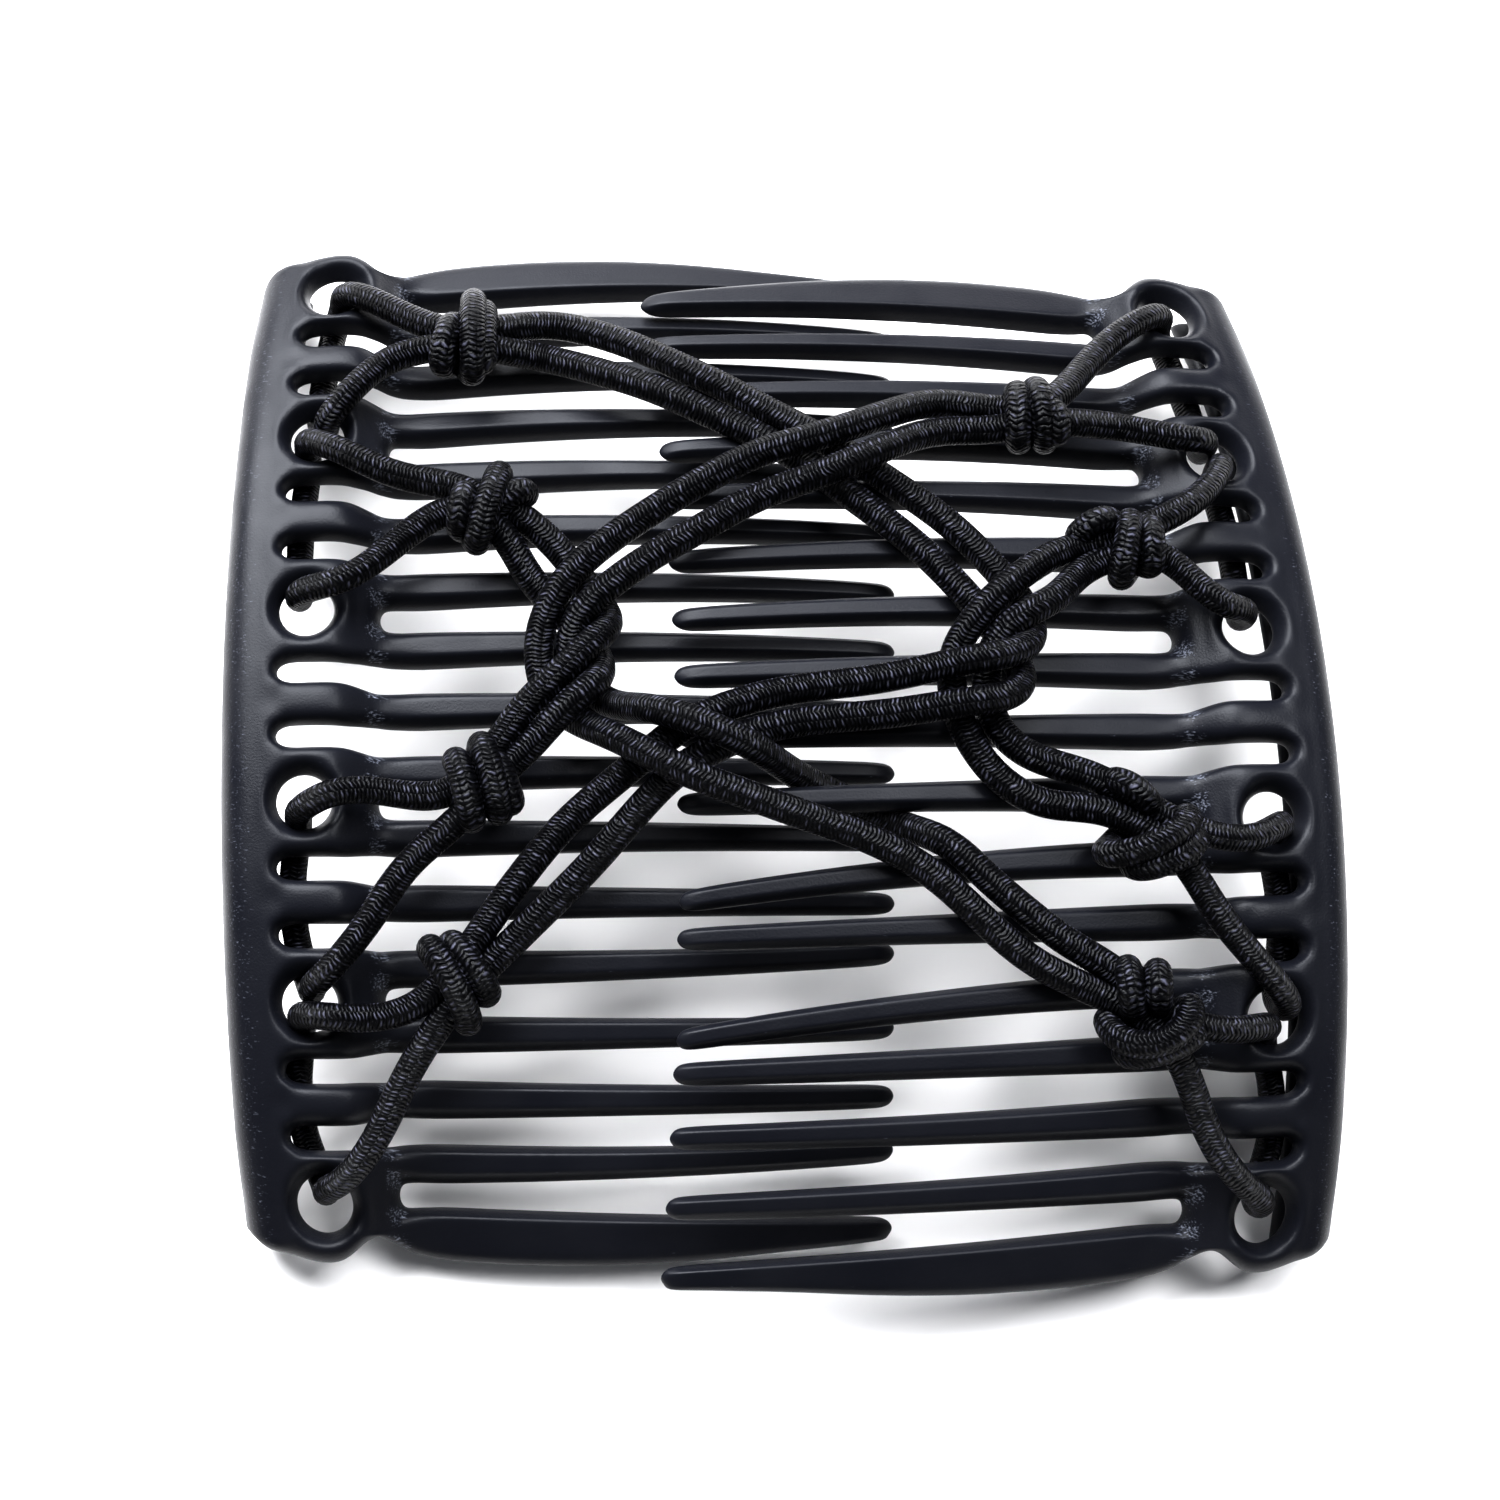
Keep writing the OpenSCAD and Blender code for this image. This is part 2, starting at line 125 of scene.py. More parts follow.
plasticSettings = {
    "colour": "#0c0d12",
    "scuffed": "#686b74",
    "roughness": (0.35, 0.5),  # least and most, it changes over the soft waves
    "ior": 1.53,
    "shine": 0.12,
    "grainSize": 0.2,          # mm between grains of the spark-eroded mould texture
    "grainDepth": 0.02,        # mm
    "flowSize": 7.0,           # mm across the soft waves left by the cooling plastic
    "flowDepth": 0.04,         # mm
    "stroke": 0.16,            # mm between the strokes of a scuff, coarser than real so that they show
    "strokeLength": 4,         # length of a stroke in widths
    "strokeTurn": 0.9,         # radians, its slant on the comb
    "scuffFrom": 0.48,         # how rubbed the plastic is where it starts to turn pale
    "scuffFull": 0.78,
}


# Moulded black ABS: satin, with wide soft highlights on every rounded edge, a fine mould grain,
# and pale scuffs where the tines leave the web
def makePlastic(s):
    material, tree, shader = newMaterial("mouldedSatinAbs")
    place = addNode(tree, "ShaderNodeTexCoord").outputs["Object"]
    grain = addNode(tree, "ShaderNodeTexNoise",
                    {"Scale": 1 / (s["grainSize"] * mm), "Detail": 2.0}, {"Vector": place})
    flow = addNode(tree, "ShaderNodeTexNoise",
                   {"Scale": 1 / (s["flowSize"] * mm), "Detail": 3.0}, {"Vector": place})
    slanted = addNode(tree, "ShaderNodeMapping",
                      {"Rotation": (0, 0, s["strokeTurn"]), "Scale": (1 / s["strokeLength"], 1, 1)},
                      {"Vector": place})
    strokes = addNode(tree, "ShaderNodeTexNoise", {"Scale": 1 / (s["stroke"] * mm), "Detail": 3.0},
                      {"Vector": slanted.outputs["Vector"]})
    worn = addNode(tree, "ShaderNodeAttribute", {"attribute_name": "worn"})
    rubbed = addNode(tree, "ShaderNodeMath", {"operation": "MULTIPLY"},
                     {0: worn.outputs["Fac"], 1: strokes.outputs["Fac"]})
    scuff = addNode(tree, "ShaderNodeMapRange",
                    {"From Min": s["scuffFrom"], "From Max": s["scuffFull"]}, {"Value": rubbed.outputs[0]})
    colour = addNode(tree, "ShaderNodeMix",
                     {"data_type": "RGBA", 6: linearColour(s["colour"]), 7: linearColour(s["scuffed"])},
                     {0: scuff.outputs["Result"]})
    least, most = s["roughness"]
    satin = addNode(tree, "ShaderNodeMapRange",
                    {"From Min": 0.3, "From Max": 0.7, "To Min": least, "To Max": most},
                    {"Value": flow.outputs["Fac"]})
    waves = addNode(tree, "ShaderNodeBump",
                    {"Distance": s["flowDepth"] * mm}, {"Height": flow.outputs["Fac"]})
    bumps = addNode(tree, "ShaderNodeBump", {"Distance": s["grainDepth"] * mm},
                    {"Height": grain.outputs["Fac"], "Normal": waves.outputs["Normal"]})
    tree.links.new(colour.outputs[2], shader.inputs["Base Color"])
    tree.links.new(satin.outputs["Result"], shader.inputs["Roughness"])
    tree.links.new(bumps.outputs["Normal"], shader.inputs["Normal"])
    shader.inputs["IOR"].default_value = s["ior"]
    shader.inputs["Specular IOR Level"].default_value = s["shine"]
    return material


braidSettings = {
    # The darkest colour below is painted shade between the stitches, the palest a painted highlight on
    # their crowns
    "valleyShade": "#000001",
    "thread": "#050507",
    "glint": "#3c3c46",
    "roughness": 0.4,
    "shine": 0.1,
    "columns": 9,                # columns of stitches round the cord
    "stitch": 0.37,              # mm from stitch to stitch along it
    "slant": 0.5,                # how far a stitch slants across its column, in stitches
    "waver": 1.6,                # how far the rows wander, in stitches
    "waverSize": 1.1,            # mm from one bend of a row to the next
    "crown": 1.7,                # how steeply a stitch falls to the sides of its column
    "depth": 0.16,               # mm
    "dullest": 0.55,             # strength of the painted highlight on the dullest stitches, as a share
    "steps": (0.2, 0.62, 0.97),  # heights at which the painted valley shade, the thread and the painted highlight have their full colour
}


# Braided polyester over rubber: wide slanted stitches in columns read as fine ribs across the cord,
# with painted shade, black, between them and here and there a painted highlight on a stitch
def makeBraid(s):
    material, tree, shader = newMaterial("braidedPolyesterElastic")
    place = addNode(tree, "ShaderNodeTexCoord")
    parts = addNode(tree, "ShaderNodeSeparateXYZ", None, {"Vector": place.outputs["UV"]})
    fuzz = addNode(tree, "ShaderNodeTexNoise",
                   {"Scale": 1 / (s["waverSize"] * mm), "Detail": 3.0}, {"Vector": place.outputs["Object"]})

    # where a point is: its column, its place across the column, and how far along the cord
    around = addNode(tree, "ShaderNodeMath",
                     {"operation": "MULTIPLY", 1: s["columns"]}, {0: parts.outputs["X"]})
    across = addNode(tree, "ShaderNodeMath", {"operation": "FRACT"}, {0: around.outputs[0]})
    middle = addNode(tree, "ShaderNodeMath", {"operation": "SUBTRACT", 1: 0.5}, {0: across.outputs[0]})
    column = addNode(tree, "ShaderNodeMath", {"operation": "FLOOR"}, {0: around.outputs[0]})
    odd = addNode(tree, "ShaderNodeMath", {"operation": "MODULO", 1: 2.0}, {0: column.outputs[0]})
    side = addNode(tree, "ShaderNodeMath",
                   {"operation": "MULTIPLY_ADD", 1: 2 * s["slant"], 2: -s["slant"]}, {0: odd.outputs[0]})
    wander = addNode(tree, "ShaderNodeMath",
                     {"operation": "MULTIPLY", 1: s["waver"]}, {0: fuzz.outputs["Fac"]})
    lean = addNode(tree, "ShaderNodeMath", {"operation": "MULTIPLY_ADD"},
                   {0: side.outputs[0], 1: middle.outputs[0], 2: wander.outputs[0]})
    along = addNode(tree, "ShaderNodeMath", {"operation": "MULTIPLY_ADD", 1: 1 / s["stitch"]},
                    {0: parts.outputs["Y"], 2: lean.outputs[0]})

    # a stitch is round along the cord and round across its column
    turn = addNode(tree, "ShaderNodeMath", {"operation": "MULTIPLY", 1: math.pi}, {0: along.outputs[0]})
    wave = addNode(tree, "ShaderNodeMath", {"operation": "SINE"}, {0: turn.outputs[0]})
    ridge = addNode(tree, "ShaderNodeMath", {"operation": "ABSOLUTE"}, {0: wave.outputs[0]})
    square = addNode(tree, "ShaderNodeMath",
                     {"operation": "MULTIPLY"}, {0: middle.outputs[0], 1: middle.outputs[0]})
    crown = addNode(tree, "ShaderNodeMath",
                    {"operation": "MULTIPLY_ADD", 1: -s["crown"], 2: 1.0}, {0: square.outputs[0]})
    height = addNode(tree, "ShaderNodeMath",
                     {"operation": "MULTIPLY"}, {0: ridge.outputs[0], 1: crown.outputs[0]})
    bump = addNode(tree, "ShaderNodeBump", {"Distance": s["depth"] * mm}, {"Height": height.outputs[0]})

    # every stitch has its own strength of painted highlight
    stitch = addNode(tree, "ShaderNodeMath", {"operation": "FLOOR"}, {0: along.outputs[0]})
    cell = addNode(tree, "ShaderNodeCombineXYZ", None, {"X": column.outputs[0], "Y": stitch.outputs[0]})
    luck = addNode(tree, "ShaderNodeTexWhiteNoise",
                   {"noise_dimensions": "2D"}, {"Vector": cell.outputs[0]})
    shine = addNode(tree, "ShaderNodeMapRange", {"From Min": 0.2, "To Min": s["dullest"], "To Max": 1.0},
                    {"Value": luck.outputs["Value"]})
    lit = addNode(tree, "ShaderNodeMath",
                  {"operation": "MULTIPLY"}, {0: height.outputs[0], 1: shine.outputs["Result"]})
    # the colour follows the stitch's height: painted shade low down, a painted highlight on the crown
    colour = addNode(tree, "ShaderNodeValToRGB", None, {"Fac": lit.outputs[0]})
    steps = colour.color_ramp.elements
    steps[0].position, steps[1].position = s["steps"][:2]
    steps[0].color = linearColour(s["valleyShade"])
    steps[1].color = linearColour(s["thread"])
    steps.new(s["steps"][2]).color = linearColour(s["glint"])
    tree.links.new(colour.outputs["Color"], shader.inputs["Base Color"])
    tree.links.new(bump.outputs["Normal"], shader.inputs["Normal"])
    shader.inputs["Roughness"].default_value = s["roughness"]
    shader.inputs["Specular IOR Level"].default_value = s["shine"]
    return material


plastic = makePlastic(plasticSettings)
braid = makeBraid(braidSettings)
print("materials made")


# The shape of the moulding, and where each comb lies

combSettings = {
    "tines": 17,
    "tineStep": 3.2,         # degrees from tine to tine along the arch
    "archRadius": 104.0,
    "length": 59.6,
    "lengthStep": 0.2,
    "spineBow": 2.5,
    "tipBow": 1.3,
    "webSlope": 0.11,
    "knuckle": (9.0, 15.6),  # where the step from the web down to the tines starts and ends
    "root": 13.6,
    "rootTop": -2.07,
    "tineRise": 0.145,       # slope of a tine's top at its root
    "tineCurl": 0.0026,      # and how quickly it bends down from there
    "wall": 2.2,
    "eyeRadius": 2.6,
    "eyeAt": 7.3,
    "slotHalf": 1.0,
    "slotAt": 4.8,
    "tineThick": 2.6,
    "tineThin": 1.8,         # at the tip
    "belly": 0.25,           # how much lower the middle of a tine's under side lies
    "bellyDraft": 0.3,       # and how much it rises to the edges
    "tineWidth": 3.0,
    "waistWidth": 2.2,
    "waistAt": 35,
    "tipWidth": 1.6,
    "flare": 1.1,            # how deep the flared rims of holes and slots sink
    "rim": 0.32,             # how far the bead round them stands up
    "facet": 1.15,           # how far the drafted sides of a tine fall
    "draft": 0.5,            # how much the walls lean in with the arch, as a share
    "taper": 0.84,           # radius of a hole at the under side, as a share
    "edgeGrow": 0.18,        # sideways, to make up for the rounding of the mesh
}

lowerPlace = {"at": (-49.57, 0.6, 17.5), "turn": (0, 2.0, 1.4), "facing": 1}
upperPlace = {"at": (49.36, 1.0, 16.8), "turn": (0, 4.6, 3.7), "facing": -1}
lowerStray = [0, -0.5, -0.4, 0, 0, -0.3, -0.5, -0.4, -0.5, -0.2, -0.4, -0.3, 1.1, 0.3, 0, 0.9, -0.5]
upperStray = [0.7, 0.3, 0, 0.2, 2.9, 0.2, 2.7, 0, -0.2, 0, 0.4, 0.5, -0.5, 0.3, -0.4, -0.9, -0.8]

cs = combSettings
middleTine = (cs["tines"] + 1) / 2


def smoothStep(x, start, end):
    t = min(1, max(0, (x - start) / (end - start)))
    return t * t * (3 - 2 * t)


def topHeight(x):
    web = cs["webSlope"] * x
    out = x - cs["root"]
    tine = cs["rootTop"] + cs["tineRise"] * out - cs["tineCurl"] * out ** 2
    return web + (tine - web) * smoothStep(x, *cs["knuckle"])


def sideY(i, x):
    return (cs["archRadius"] + topHeight(x)) * math.sin(math.radians((middleTine - i) * cs["tineStep"]))


def setBack(i, bow):
    return bow * ((middleTine - i) / (cs["tines"] / 2)) ** 2


def tineHalf(x):
    waist, waistAt = cs["waistWidth"], cs["waistAt"]
    if x < waistAt:
        share = (x - cs["root"]) / (waistAt - cs["root"])
        return (cs["tineWidth"] + (waist - cs["tineWidth"]) * share) / 2
    share = (x - waistAt) / (cs["length"] - waistAt)
    return (waist + (cs["tipWidth"] - waist) * share) / 2


def lookUp(x, table):
    if x <= table[0][0]:
        return table[0][1]
    for (x0, y0), (x1, y1) in zip(table, table[1:]):
        if x <= x1:
            return y0 + (y1 - y0) * (x - x0) / (x1 - x0)
    return table[-1][1]


# From the moulding's own axes to the table's
def placedPoint(place, x, y, z):
    turn = turnOf(place["turn"]).to_matrix()
    return turn @ Vector((x * place["facing"], y * place["facing"], z)) + Vector(place["at"])


def archedPoint(place, x, y, height):
    r = cs["archRadius"] + height
    return placedPoint(place, x, y, math.sqrt(r * r - y * y) - cs["archRadius"])


# Cords: knots, routes and legs in millimetres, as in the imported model, but one leg of loop d
# bends up to 1 mm earlier there

cordSettings = {
    "strand": 2.6,
    "leg": 2.4,
    "spacing": 0.22,  # from ring to ring of the tube
    "sides": 18,
    "pinch": 0.75,    # half of the distance between the two strands inside a knot
    "inside": 1.2,    # how far from a knot's middle a strand lies pinched
    "join": 1.0,      # and how far from the middle of the first knot the cord ends
    "passes": 400,    # rounds of smoothing that settle a cord into even curves
    "tight": 4.5,     # how near a hole the cord keeps closest to its route
    "held": 0.16,     # share of the smoothing that a cord gets in a hole
    "freed": 0.62,    # what is added to it away from the hole
    "eased": 0.4,     # and what is taken off again far from any hole
    "far": (13, 18),  # where that starts and where it is complete
}

# middle, turn that carries +X to the double strand's side, number of turns
knots = {
    "a1": ((-29.5, 36.5, 14), (-20, 0, 0), 2),
    "a2": ((-28.5, -24, 16.5), (14, 0, 52), 3),
    "b1": ((29, 15.5, 20), (8, 0, 198), 3),
    "b2": ((31, -9.5, 20.5), (-4, 0, 150), 3),
    "c1": ((-27, 18.5, 18.5), (-10, 0, -28), 2),
    "c2": ((-26.5, -6.5, 19.5), (4, 0, 50), 3),
    "d1": ((21.5, 28.5, 18), (16, 0, 190), 2),
    "d2": ((31, -26, 18), (-14, 0, 143), 3),
}

routes = {
    "a1": [(-21.5, 39, 12), (-15.5, 37, 13.5), (-10.5, 34, 15.5), (-6, 31.5, 16.5), (-2, 29, 17),
           (3, 26, 18), (8, 22.5, 18.5), (14, 18, 19), (18, 14, 19), (20.5, 10.5, 19.5), (21.5, 7.5, 20.5),
           (20.5, 5, 23), (18, 4, 24), (15, 3.5, 24), (12, 3, 23), (7, 2, 22.5), (2, 1.5, 22),
           (-3, 0.5, 22), (-9, -2, 22.5), (-12.5, -4.5, 20.5), (-16, -7, 18.5), (-19.5, -10, 17.5),
           (-23, -14.5, 17.5)],
    "a2": [(-22.5, 35.5, 12.5), (-17.5, 33.5, 14.5), (-12, 31, 16.5), (-7, 28.5, 17), (-3, 26.5, 17.5),
           (1, 24, 18), (4.5, 21, 19), (7.5, 18.5, 19.5), (11, 15.5, 20), (14, 12.5, 20), (17, 9, 20),
           (19.5, 5.5, 19.5), (20.5, 2.5, 21.5), (19, 0.5, 23), (16.5, 0, 24), (12, -0.5, 23),
           (8.5, -1, 22.5), (2, -1.5, 22), (-3, -2.5, 22), (-9, -5.5, 22), (-12.5, -8.5, 20),
           (-17, -13.5, 18), (-21.5, -18, 17)],
    "b1": [(22, 13.5, 21.5), (19, 11, 22.5), (16, 8, 22.5), (14, 5, 20.5), (14, 2, 20.5),
           (14.5, -1, 21), (16.5, -4.5, 20.5), (19, -7, 20.5), (22, -8.5, 20.5)],
    "b2": [(23.5, 10, 22), (21, 8.5, 23.5), (18.5, 7, 22.5), (17, 4.5, 21), (17, 2, 20.5),
           (17.5, -1, 20.5), (19, -3, 20.5), (21.5, -4.5, 20.5), (24, -5, 20.5)],
    "c1": [(-20, 15, 17), (-18, 12, 17), (-16, 9.5, 17.5), (-15.5, 7.5, 19), (-17, 6, 21),
           (-19.5, 3, 21.5), (-22.5, 0.5, 20.5)],
    "c2": [(-23, 12.5, 17), (-20, 9.5, 17), (-18, 7, 17), (-16.5, 5, 18), (-16.5, 2, 21),
           (-18.5, 0.5, 22), (-21, -2, 20.5)],
    "d1": [(13, 29.5, 18.5), (7.5, 27, 20.5), (2.5, 25, 21), (-2.5, 23.5, 21), (-9, 20, 20.5),
           (-15, 16, 20), (-18, 13.5, 20), (-20.5, 10.5, 20), (-22, 7, 19), (-22, 4, 18),
           (-21, 1, 17.5), (-18.5, -1, 18.5), (-15.5, -3, 21.5), (-12, -5.5, 24), (-8, -7.5, 24.5),
           (-3, -9, 23.5), (2, -10.5, 22.5), (7, -12, 21.5), (12, -14.5, 20.5), (16, -18, 20),
           (19.5, -21, 19), (23, -23, 18.5)],
    "d2": [(13, 26.5, 19), (7.5, 23.5, 21.5), (2.5, 21, 22), (-3, 19, 21.5), (-7, 16.5, 21.5),
           (-12, 13.5, 21.5), (-15.5, 11, 21), (-18.5, 8.5, 20.5), (-19.5, 6, 19), (-19, 4, 18),
           (-17.5, 2, 17.5), (-15.5, 0.5, 18.5), (-13.5, -0.5, 21.5), (-11.5, -1.5, 24.5), (-9, -2.5, 25.5),
           (-6.5, -3.5, 25.5), (-4, -4.5, 25), (-1.5, -5, 21.5), (0.5, -5.5, 18.5), (3, -6, 16),
           (6.5, -7.5, 15.5), (10, -9.5, 16.5), (12.5, -11, 19.5), (14.5, -12.5, 20.5), (17, -15, 20),
           (20, -17.5, 20), (23.5, -20, 19)],
}

# Legs of each knot: comb, the two holes, how far each leg lies from the middle of its hole
# (inwards, towards the other hole), offset at the knot, points on the way to each hole
legs = {
    "a1": (lowerPlace, 1, 4, (0.7, 1.1), (0.8, 1.1), 1.3,
           [(-35.5, 39.5, 12.5), (-38.5, 41.5, 12)], [(-36.5, 34.5, 14), (-39, 31, 15.5)]),
    "a2": (lowerPlace, 13, 16, (-0.7, 1.1), (0.2, 1.2), 1.3,
           [(-35, -27, 16), (-38.5, -27, 17)], [(-32.5, -31, 14.5), (-34.5, -36, 13.5), (-37, -40, 13)]),
    "b1": (upperPlace, 13, 10, (-0.1, 1.3), (0.5, 1.1), -1.3,
           [(37, 20.5, 19)], [(35.5, 12.5, 20), (38, 10, 21)]),
    "b2": (upperPlace, 7, 4, (-0.6, 0.9), (-0.9, 0.9), -1.3,
           [(39, -11.5, 20.5)], [(37, -17.5, 18.5), (41, -22, 18)]),
    "c1": (lowerPlace, 4, 7, (-0.8, 1.1), (-0.6, 1.1), 1.3,
           [(-35, 21.5, 17.5), (-39, 23.5, 18.5)], [(-35, 15, 18), (-38, 11.5, 20)]),
    "c2": (lowerPlace, 10, 13, (-0.4, 1.2), (0.2, 1.2), 1.3,
           [(-35, -7.5, 19), (-39, -8, 20.5)], [(-33, -13.5, 17.5), (-36, -19, 17.5), (-39, -23, 18)]),
    "d1": (upperPlace, 16, 13, (0.9, 1.0), (0.9, 1.0), -1.3,
           [(27, 34, 15), (30.5, 38.5, 13), (34, 41, 12.5)],
           [(30.5, 28.5, 16), (35, 27.2, 17), (37.6, 26.8, 17.4)]),
    "d2": (upperPlace, 4, 1, (0.9, 0.9), (0.4, 1.1), -1.3,
           [(38, -27.5, 17.5)], [(36, -35.5, 14.5), (38, -39, 14)]),
}

# Offsets of each pair of strands on the faces of its first and second knot
strandSides = {
    "a": ((1.4, 1.4), (-1.4, -1.4)),
    "b": ((-1.4, 1.4), (1.4, -1.4)),
    "c": ((1.4, 1.4), (-1.4, -1.4)),
    "d": ((-1.4, 1.4), (1.4, -1.4)),
}


def inKnot(name, x, y, z=0.0):
    middle, turn, turns = knots[name]
    return Vector(middle) + turnOf(turn).to_matrix() @ Vector((x, y, z))


portSettings = {
    "wrap": 1.1,     # half length that each wrap after the first gives a knot
    "end": 1.8,      # half length of a knot of one wrap
    "gather": 0.85,  # how much closer together the cords run in a knot, as a share
}


# Where a cord leaves a knot, on the strands' side (1) or the legs' side (-1)
def portPoint(name, side, across):
    half = (knots[name][2] - 1) * portSettings["wrap"] + portSettings["end"]
    return inKnot(name, side * half, across * portSettings["gather"])


# A point at hole k: how far inwards and across from its middle, and its height over the web
def holePoint(place, k, inward, across, height):
    y = sideY(k + 0.5, cs["eyeAt"]) + across
    back = setBack(k + 0.5, cs["spineBow"])
    return archedPoint(place, cs["eyeAt"] + back + inward, y, topHeight(cs["eyeAt"]) + height)


underSettings = {
    "skin": 0.4,     # height at which a leg enters its hole, over the web's top
    "under": -2.2,   # height at which it leaves the hole
    "low": -4.3,     # height of the cord below the web
    "past": 2.9,     # how far beside the middle of a hole it is that low
    "outward": 0.5,  # how much nearer the spine's edge it lies there
    "bow": 1.2,      # and halfway between the two holes
}


# A leg down through hole k, along the under side and up through hole m
def underWeb(place, k, m, atK, atM):
    u = underSettings
    s = 1 if sideY(m, 0) > sideY(k, 0) else -1
    reach = abs(sideY(m + 0.5, cs["eyeAt"]) - sideY(k + 0.5, cs["eyeAt"]))
    return [
        holePoint(place, k, atK[0], s * atK[1], u["skin"]),
        holePoint(place, k, atK[0], s * atK[1], u["under"]),
        holePoint(place, k, atK[0] / 2 - u["outward"], s * u["past"], u["low"]),
        holePoint(place, k, (atK[0] + atM[0]) / 5 - u["bow"], s * reach / 2, u["low"]),
        holePoint(place, m, atM[0] / 2 - u["outward"], -s * u["past"], u["low"]),
        holePoint(place, m, atM[0], -s * atM[1], u["under"]),
        holePoint(place, m, atM[0], -s * atM[1], u["skin"]),
    ]


def endRoute(name):
    place, k, m, atK, atM, across, down, back = legs[name]
    points = [portPoint(name, -1, across)] + [Vector(p) for p in down]
    points += underWeb(place, k, m, atK, atM)
    return points + [Vector(p) for p in reversed(back)] + [portPoint(name, -1, -across)]


def strandRoute(loop, which):
    first, second = strandSides[loop][which]
    middle = [Vector(p) for p in routes[loop + str(which + 1)]]
    return [portPoint(loop + "1", 1, first)] + middle + [portPoint(loop + "2", 1, second)]


# A smooth curve through the points, in even steps
def smoothLine(points, spacing, samples=12):
    pts = [2 * points[0] - points[1]] + points + [2 * points[-1] - points[-2]]
    line = []
    for a, b, c, d in zip(pts, pts[1:], pts[2:], pts[3:]):
        for n in range(samples):
            t = n / samples
            line.append((2 * b + (c - a) * t + (2 * a - 5 * b + 4 * c - d) * t * t
                         + (3 * b - a - 3 * c + d) * t ** 3) / 2)
    line.append(points[-1])
    run = [0.0]
    for a, b in zip(line, line[1:]):
        run.append(run[-1] + (b - a).length)
    count = max(8, round(run[-1] / spacing))
    even, j = [], 0
    for n in range(count + 1):
        target = run[-1] * n / count
        while j < len(run) - 2 and run[j + 1] < target:
            j += 1
        t = (target - run[j]) / max(run[j + 1] - run[j], 1e-9)
        even.append(line[j].lerp(line[j + 1], min(max(t, 0), 1)))
    return even


def lengthOf(line):
    return sum((b - a).length for a, b in zip(line, line[1:]))


# Pulls a line into even curves, less so where its weight is low
def settleLine(line, weights, passes):
    for _ in range(passes):
        around = zip(line, line[1:], line[2:], weights[1:])
        line = [line[0]] + [b + (a + c - 2 * b) * (w / 4) for a, b, c, w in around] + [line[-1]]
    return line


# A grid of quads rolled round a line; U runs round the cord and V along it in millimetres
def rollTube(name, line, radii, material, sides):
    bm = bmesh.new()
    uv = bm.loops.layers.uv.new("braid")
    rings = len(line)
    length = lengthOf(line)
    bmesh.ops.create_grid(bm, x_segments=sides, y_segments=rings - 1, size=0.5, calc_uvs=False)
    where = {v: (round((v.co.x + 0.5) * sides), round((v.co.y + 0.5) * (rings - 1))) for v in bm.verts}
    for face in bm.faces:
        for loop in face.loops:
            k, i = where[loop.vert]
            loop[uv].uv = (k / sides, length * i / (rings - 1))
    ahead = [(line[min(i + 1, rings - 1)] - line[max(i - 1, 0)]).normalized() for i in range(rings)]
    up = ahead[0].orthogonal().normalized()
    ups = []
    for t in ahead:
        up = (up - t * up.dot(t)).normalized()
        ups.append(up.copy())
    for v in bm.verts:
        k, i = where[v]
        side = ahead[i].cross(ups[i])
        a = 2 * math.pi * k / sides
        v.co = (line[i] + (ups[i] * math.cos(a) + side * math.sin(a)) * radii[i]) * mm
    bmesh.ops.remove_doubles(bm, verts=bm.verts, dist=1e-7)
    ends = [e for e in bm.edges if e.is_boundary]
    bmesh.ops.holes_fill(bm, edges=ends, sides=sides)
    bmesh.ops.recalc_face_normals(bm, faces=bm.faces)
    return finishMesh(bm, name, material)


def makeLoop(loop, s):
    first, second = loop + "1", loop + "2"
    out, back = strandSides[loop]
    pinch, deep = s["pinch"], s["inside"]
    firstEnd, secondEnd = endRoute(first), endRoute(second)
    if legs[first][5] * back[0] < 0:
        firstEnd.reverse()
    if legs[second][5] * out[1] < 0:
        secondEnd.reverse()
    points = [inKnot(first, 0, math.copysign(pinch, out[0]))]
    points += strandRoute(loop, 0)
    points += [inKnot(second, x, math.copysign(pinch, out[1])) for x in (deep, -deep)]
    points += secondEnd
    points += [inKnot(second, x, math.copysign(pinch, back[1])) for x in (-deep, deep)]
    points += strandRoute(loop, 1)[::-1]
    points += [inKnot(first, x, math.copysign(pinch, back[0])) for x in (deep, -deep)]
    points += firstEnd
    points += [inKnot(first, -s["join"], math.copysign(pinch, out[0]))]
    line = smoothLine(points, s["spacing"])

    holes = [holePoint(legs[name][0], k, 0, 0, -2) for name in (first, second) for k in legs[name][1:3]]
    near = [min((p - hole).length for hole in holes) for p in line]
    freed = [s["freed"] * smoothStep(d, s["tight"], s["tight"] + 4) for d in near]
    eased = [s["eased"] * smoothStep(d, *s["far"]) for d in near]
    weights = [s["held"] + more - less for more, less in zip(freed, eased)]
    line = settleLine(line, weights, s["passes"])
    thin = [smoothStep(d, s["tight"] + 2, s["tight"] + 9) for d in near]
    radii = [(s["leg"] + (s["strand"] - s["leg"]) * t) / 2 for t in thin]
    return rollTube("cord" + loop.upper(), line, radii, braid, s["sides"]), line


knotSettings = {
    "cord": 2.45,
    "crest": 2.2,         # height of a wrap over the middle of its knot
    "depth": 2.0,         # and how far it passes below
    "points": 10,
    "tuck": (0.3, -0.6),  # where its two ends hide: share of the way out, and height
    "passes": 12,
}

